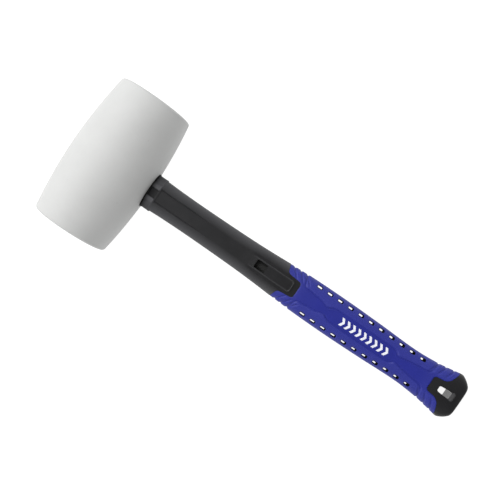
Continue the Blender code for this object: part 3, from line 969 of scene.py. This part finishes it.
def mix_color(tree, factor, first, second):
    """The first colour where the factor is 0 and the second where it is 1."""
    node = add(tree, "ShaderNodeMix", {MIX_FACTOR: factor}, data_type="RGBA")
    for key, color in ((MIX_FIRST, first), (MIX_SECOND, second)):
        plug(tree, node.inputs[key], color if isinstance(color, bpy.types.NodeSocket) else (*color, 1.0))
    return node.outputs[MIX_RESULT]


def math_node(tree, operation, first, second):
    return add(tree, "ShaderNodeMath", {0: first, 1: second}, operation=operation).outputs[0]


def bump(tree, height, distance, strength, normal=None):
    inputs = {"Height": height, "Distance": distance, "Strength": strength}
    if normal is not None:
        inputs["Normal"] = normal
    return add(tree, "ShaderNodeBump", inputs).outputs["Normal"]


def object_coordinates(tree):
    return add(tree, "ShaderNodeTexCoord").outputs["Object"]


def point_factor(tree, name):
    """The number stored at each point under this name."""
    return add(tree, "ShaderNodeAttribute", attribute_name=name).outputs["Fac"]


def finish_shader(tree, shader, color, roughness, normal):
    """Links the shader's main sockets; a roughness of None keeps the material's plain one."""
    for key, source in (("Base Color", color), ("Roughness", roughness), ("Normal", normal)):
        if source is not None:
            tree.links.new(source, shader.inputs[key])


def white_rubber():
    material, tree, shader = new_material("white_rubber", 0.6, 0.35)
    where = object_coordinates(tree)
    cloud = noise(tree, where, 45.0, 4.0, 0.6)
    tint = mix_color(tree, mapped(tree, cloud, 0.3, 0.7), (0.455, 0.458, 0.452), (0.485, 0.488, 0.482))
    grain = noise(tree, where, 2600.0, 2.0, 0.5)
    tint = mix_color(tree, mapped(tree, grain, 0.35, 0.75, 0.0, 0.25), tint, (0.53, 0.53, 0.525))
    specks = noise(tree, where, 420.0, 2.0, 0.5)
    tint = mix_color(tree, mapped(tree, specks, 0.755, 0.80, 0.0, 0.45), tint, (0.25, 0.25, 0.24))
    rough = mapped(tree, cloud, 0.3, 0.7, 0.55, 0.68)
    fine = bump(tree, grain, 0.03 * MM, 0.5)
    wave = bump(tree, noise(tree, where, 160.0, 3.0, 0.5), 0.10 * MM, 0.35, fine)
    finish_shader(tree, shader, tint, rough, wave)
    return material


def black_plastic():
    material, tree, shader = new_material("black_plastic", 0.45, 0.2)
    where = object_coordinates(tree)
    grain_and_painted_light = point_factor(tree, "grain_and_painted_light")
    cloud = noise(tree, where, 60.0, 4.0, 0.6)
    tint = mix_color(tree, mapped(tree, cloud, 0.3, 0.7), (0.009, 0.009, 0.010), (0.012, 0.012, 0.013))
    # Where the attribute is high the plastic turns paler: partly its matt grain, partly painted sheen and
    # painted highlights.
    tint = mix_color(tree, grain_and_painted_light, tint, (0.072, 0.072, 0.077))
    spark = noise(tree, where, 1500.0, 3.0, 0.6)
    rough = mapped(tree, grain_and_painted_light, 0.0, 1.0, 0.38, 0.60)
    rough = math_node(tree, "ADD", rough, mapped(tree, cloud, 0.3, 0.7, -0.03, 0.03))
    # The eye's straight wall is painted a paler grey, painted light on a shaded wall, and made glossier.
    polish_and_painted_light = point_factor(tree, "polish_and_painted_light")
    tint = mix_color(tree, polish_and_painted_light, tint, (0.05, 0.05, 0.052))
    rough = math_node(tree, "MULTIPLY", rough, mapped(tree, polish_and_painted_light, 0.0, 1.0, 1.0, 0.45))
    height = math_node(tree, "MULTIPLY", spark, mapped(tree, grain_and_painted_light, 0.0, 1.0, 0.25, 1.0))
    finish_shader(tree, shader, tint, rough, bump(tree, height, 0.09 * MM, 0.9))
    return material


# Near-black and barely glossy: painted shade on the slot walls, which the glowing floor would otherwise
# light.
def slot_painted_shade():
    material, tree, shader = new_material("matt_slot_painted_shade", 0.9, 0.08)
    where = object_coordinates(tree)
    grain = noise(tree, where, 1200.0, 2.0, 0.5)
    tint = mix_color(tree, grain, (0.002, 0.002, 0.003), (0.006, 0.006, 0.008))
    finish_shader(tree, shader, tint, None, bump(tree, grain, 0.03 * MM, 0.5))
    return material


def blue_elastomer():
    material, tree, shader = new_material("blue_elastomer", 0.5, 0.40)
    where = object_coordinates(tree)
    grain_and_painted_light = point_factor(tree, "grain_and_painted_light")
    cloud = noise(tree, where, 70.0, 4.0, 0.6)
    tint = mix_color(tree, mapped(tree, cloud, 0.3, 0.7), (0.005, 0.010, 0.190), (0.008, 0.013, 0.220))
    grain = noise(tree, where, 1900.0, 3.0, 0.6)
    lit = mapped(tree, grain, 0.35, 0.75, 0.0, 0.7)
    lit = mix_color(tree, lit, (0.009, 0.014, 0.200), (0.023, 0.030, 0.285))
    # The paler grainy colour is the panels' own grain, and a painted highlight on the wings and the
    # grip's ends.
    tint = mix_color(tree, grain_and_painted_light, tint, lit)
    rough = mapped(tree, grain_and_painted_light, 0.0, 1.0, 0.46, 0.58)
    height = math_node(tree, "MULTIPLY", grain, mapped(tree, grain_and_painted_light, 0.0, 1.0, 0.15, 1.0))
    finish_shader(tree, shader, tint, rough, bump(tree, height, 0.10 * MM, 0.9))
    return material


def black_epoxy():
    material, tree, shader = new_material("black_epoxy", 0.32, 0.2)
    where = object_coordinates(tree)
    lumps = noise(tree, where, 420.0, 2.0, 0.5)
    tint = mix_color(tree, lumps, (0.001, 0.001, 0.001), (0.003, 0.003, 0.003))
    rough = mapped(tree, lumps, 0.3, 0.7, 0.25, 0.42)
    finish_shader(tree, shader, tint, rough, bump(tree, lumps, 0.15 * MM, 0.5))
    return material


def glass_fibre():
    material, tree, shader = new_material("dark_glass_fibre", 0.4, 0.3)
    where = object_coordinates(tree)
    stretched = add(tree, "ShaderNodeMapping", {"Vector": where, "Scale": (0.03, 1.0, 1.0)})
    strands = noise(tree, stretched.outputs["Vector"], 3800.0, 3.0, 0.7)
    tint = mix_color(tree, mapped(tree, strands, 0.3, 0.75), (0.008, 0.008, 0.008), (0.020, 0.020, 0.019))
    rough = mapped(tree, strands, 0.3, 0.7, 0.32, 0.5)
    finish_shader(tree, shader, tint, rough, bump(tree, strands, 0.05 * MM, 0.7))
    return material


def white_ink():
    material, tree, shader = new_material("white_ink", 0.5, 0.4)
    where = object_coordinates(tree)
    cover = noise(tree, where, 900.0, 3.0, 0.6)
    tint = mix_color(tree, mapped(tree, cover, 0.3, 0.6), (0.60, 0.62, 0.72), (0.80, 0.81, 0.84))
    rough = mapped(tree, cover, 0.3, 0.7, 0.42, 0.58)
    finish_shader(tree, shader, tint, rough, bump(tree, cover, 0.02 * MM, 0.6))
    return material


def pale_floor():
    """A floor that glows, so that it comes out white and still takes a faint shadow."""
    material, tree, shader = new_material("pale_floor", 0.9, 0.0)
    where = object_coordinates(tree)
    cloud = noise(tree, where, 3.0, 2.0, 0.5)
    tint = mix_color(tree, cloud, (0.19, 0.19, 0.19), (0.21, 0.21, 0.21))
    tree.links.new(tint, shader.inputs["Base Color"])
    shader.inputs["Emission Color"].default_value = (1.0, 1.0, 1.0, 1.0)
    shader.inputs["Emission Strength"].default_value = 0.93
    return material


# ---------------------------------------------------------------- studio

# The key lamp hangs above and beyond the head. Metres, degrees and watts.
LAMP_SIZE = (2.4, 1.2)
LAMP_POWER = 36.5
LAMP_TARGET = (-0.05, 0.0, 0.02)
LAMP_ELEVATION = 55
LAMP_DISTANCE = 1.6
FLOOR_HALF = 40
FLOOR_DROP = 0.0001

# The camera looks almost square at the mallet's flat side: LENS_TURN, in radians, turns it about
# the head's axis, and the cosine and sine roll it. Its place is along the handle, along the head
# and back from them, in metres.
LENS_TURN = 0.0767
TURN_COS, TURN_SIN = 0.8252, 0.5648
CAMERA_PLACE = (0.11506, 0.00506, 0.5012)
CAMERA_LENS = 50.4


def make_studio():
    """A white dome, a glowing floor and one large lamp."""
    scene = bpy.context.scene
    scene.view_settings.view_transform = "Standard"
    world = bpy.data.worlds.new("studio")
    world.use_nodes = True
    tree = world.node_tree
    background = tree.nodes["Background"]
    background.inputs["Color"].default_value = (1.0, 1.0, 1.0, 1.0)
    # The dome is brighter towards the horizon than overhead.
    where = add(tree, "ShaderNodeTexCoord").outputs["Generated"]
    height = add(tree, "ShaderNodeSeparateXYZ", {"Vector": where}).outputs["Z"]
    square = math_node(tree, "MULTIPLY", height, height)
    tree.links.new(mapped(tree, square, 0.0, 1.0, 0.80, 0.25), background.inputs["Strength"])
    scene.world = world
    corners = [(x, y, 0) for x, y in rectangle(0, 0, (FLOOR_HALF, FLOOR_HALF))]
    floor = mesh_object("floor", corners, [(0, 1, 2, 3)])
    floor.location.z = -FLOOR_DROP
    floor.data.materials.append(pale_floor())
    lamp = bpy.data.lights.new("key", "AREA")
    lamp.shape = "RECTANGLE"
    lamp.size, lamp.size_y = LAMP_SIZE
    lamp.energy = LAMP_POWER
    key = bpy.data.objects.new("key", lamp)
    scene.collection.objects.link(key)
    elevation = math.radians(LAMP_ELEVATION)
    direction = Vector((-math.cos(elevation), 0.0, math.sin(elevation)))
    key.location = Vector(LAMP_TARGET) + direction * LAMP_DISTANCE
    key.rotation_euler = direction.to_track_quat("Z", "Y").to_euler()


def make_camera():
    """The camera that took the photograph, as near as can be measured."""
    along = Vector((math.cos(LENS_TURN), 0, -math.sin(LENS_TURN)))
    back = Vector((math.sin(LENS_TURN), 0, math.cos(LENS_TURN)))
    head_axis = Vector((0, 1, 0))
    right = TURN_COS * along + TURN_SIN * head_axis
    up = -TURN_SIN * along + TURN_COS * head_axis
    ahead, aside, away = CAMERA_PLACE
    place_at = ahead * along + aside * head_axis + away * back
    rotation = Matrix((right, up, back)).transposed().to_4x4()
    data = bpy.data.cameras.new("camera")
    data.sensor_width = 36.0
    data.lens = CAMERA_LENS
    data.clip_start = 0.01
    camera = bpy.data.objects.new("camera", data)
    bpy.context.scene.collection.objects.link(camera)
    camera.matrix_world = TO_ROW @ Matrix.Translation(place_at) @ rotation
    bpy.context.scene.camera = camera


# ---------------------------------------------------------------- build

make_studio()
make_camera()
place(make_head(), "rubber_head", white_rubber())
place(finish_shading(make_bond(), 40), "epoxy_bond", black_epoxy())
jacket = place(finish_shading(make_jacket()), "handle_jacket", black_plastic())
place(finish_shading(make_core()), "glass_fibre_core", glass_fibre())
paint_slot_shade(jacket, slot_painted_shade())
place(finish_shading(make_grip()), "soft_grip", blue_elastomer())
place(finish_shading(make_print()), None, white_ink())
